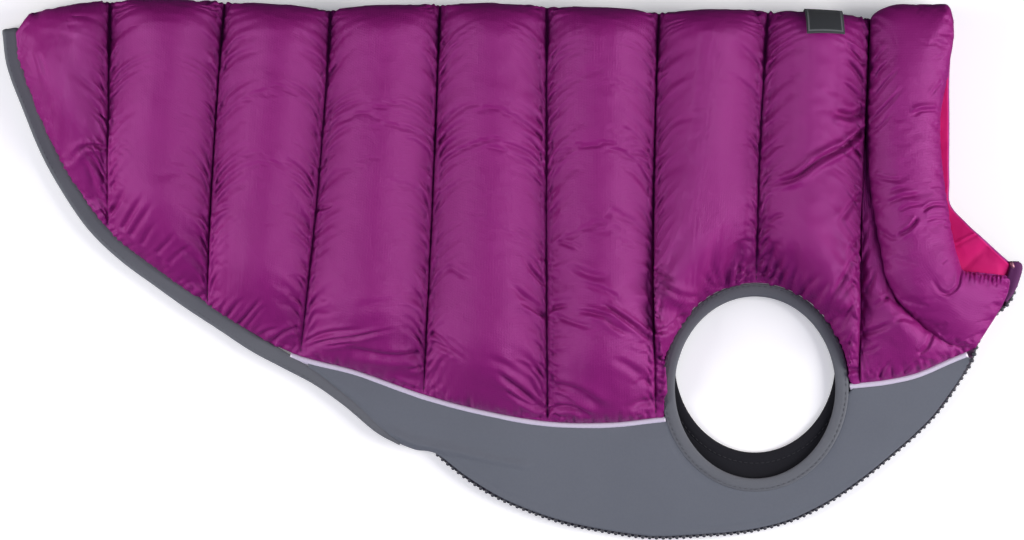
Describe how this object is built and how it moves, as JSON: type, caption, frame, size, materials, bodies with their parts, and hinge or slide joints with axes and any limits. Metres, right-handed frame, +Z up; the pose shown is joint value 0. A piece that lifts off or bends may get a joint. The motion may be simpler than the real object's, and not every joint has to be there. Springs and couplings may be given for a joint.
{
  "type": "dog winter coat",
  "caption": "Quilted padded dog coat laid flat on its side, with stretch belly panel, bound leg hole, closed zip and stand-up collar.",
  "frame": {"origin": "on the surface the coat lies on, under the middle of its outline", "axes": "+X towards the neck along the coat's length, +Y towards the spine fold, +Z up off the surface"},
  "size_m": [0.4786, 0.253, 0.0331],
  "materials": {
    "shell_purple": "thin ripstop nylon with a soft satin gloss",
    "lining_pink": "thin plain-weave nylon, satin",
    "stretch_grey": "smooth matt stretch jersey on foam",
    "binding_grey": "matt elastic binding",
    "piping_reflective": "reflective satin tape over cord",
    "zip_dark": "moulded plastic teeth on woven tape",
    "label_grey": "woven satin label, blank"
  },
  "bodies": {
    "root": {"back_quilt": "shell_purple", "chest_quilt_near": "shell_purple", "chest_quilt_far": "shell_purple", "collar_shell": "shell_purple", "collar_lining": "lining_pink", "belly_panel_near": "stretch_grey", "belly_panel_far": "stretch_grey", "leg_binding_near": "binding_grey", "leg_binding_far": "binding_grey", "hem_binding": "binding_grey", "piping_rear_near": "piping_reflective", "piping_rear_far": "piping_reflective", "piping_front_near": "piping_reflective", "piping_front_far": "piping_reflective", "zip_chain": "zip_dark", "label": "label_grey"}
  },
  "joints": []
}
